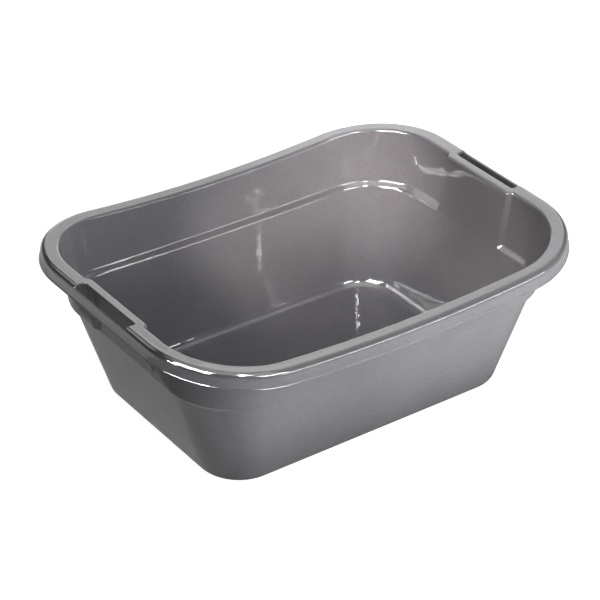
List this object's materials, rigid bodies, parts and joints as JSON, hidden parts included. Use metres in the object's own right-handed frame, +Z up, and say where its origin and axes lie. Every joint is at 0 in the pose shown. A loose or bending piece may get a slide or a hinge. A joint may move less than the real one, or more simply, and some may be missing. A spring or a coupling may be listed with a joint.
{
  "type": "washtub",
  "caption": "Open rectangular plastic washtub with tapered walls, a ledge half way up, a rolled rim that sags along the long sides, and a hand slot through the rim at each end.",
  "frame": {"origin": "centre of the flat underside, on the surface that the tub stands on", "axes": "+X along the length towards the right-hand handle, +Y from the front long side to the back one, +Z up"},
  "size_m": [0.6, 0.444, 0.2126],
  "materials": {
    "grey_plastic": "smooth semi-gloss moulded polypropylene, plain mid grey"
  },
  "bodies": {
    "root": {"floor": "grey_plastic", "heel_front": "grey_plastic", "lower_wall_front": "grey_plastic", "upper_wall_front": "grey_plastic", "rim_front": "grey_plastic", "heel_back": "grey_plastic", "lower_wall_back": "grey_plastic", "upper_wall_back": "grey_plastic", "rim_back": "grey_plastic", "heel_left": "grey_plastic", "lower_wall_left": "grey_plastic", "finger_recess_left": "grey_plastic", "handle_left": "grey_plastic", "heel_corner_front_left": "grey_plastic", "lower_corner_front_left": "grey_plastic", "upper_corner_front_left": "grey_plastic", "rim_corner_front_left": "grey_plastic", "heel_corner_back_left": "grey_plastic", "lower_corner_back_left": "grey_plastic", "upper_corner_back_left": "grey_plastic", "rim_corner_back_left": "grey_plastic", "heel_right": "grey_plastic", "lower_wall_right": "grey_plastic", "finger_recess_right": "grey_plastic", "handle_right": "grey_plastic", "heel_corner_front_right": "grey_plastic", "lower_corner_front_right": "grey_plastic", "upper_corner_front_right": "grey_plastic", "rim_corner_front_right": "grey_plastic", "heel_corner_back_right": "grey_plastic", "lower_corner_back_right": "grey_plastic", "upper_corner_back_right": "grey_plastic", "rim_corner_back_right": "grey_plastic"}
  },
  "joints": []
}
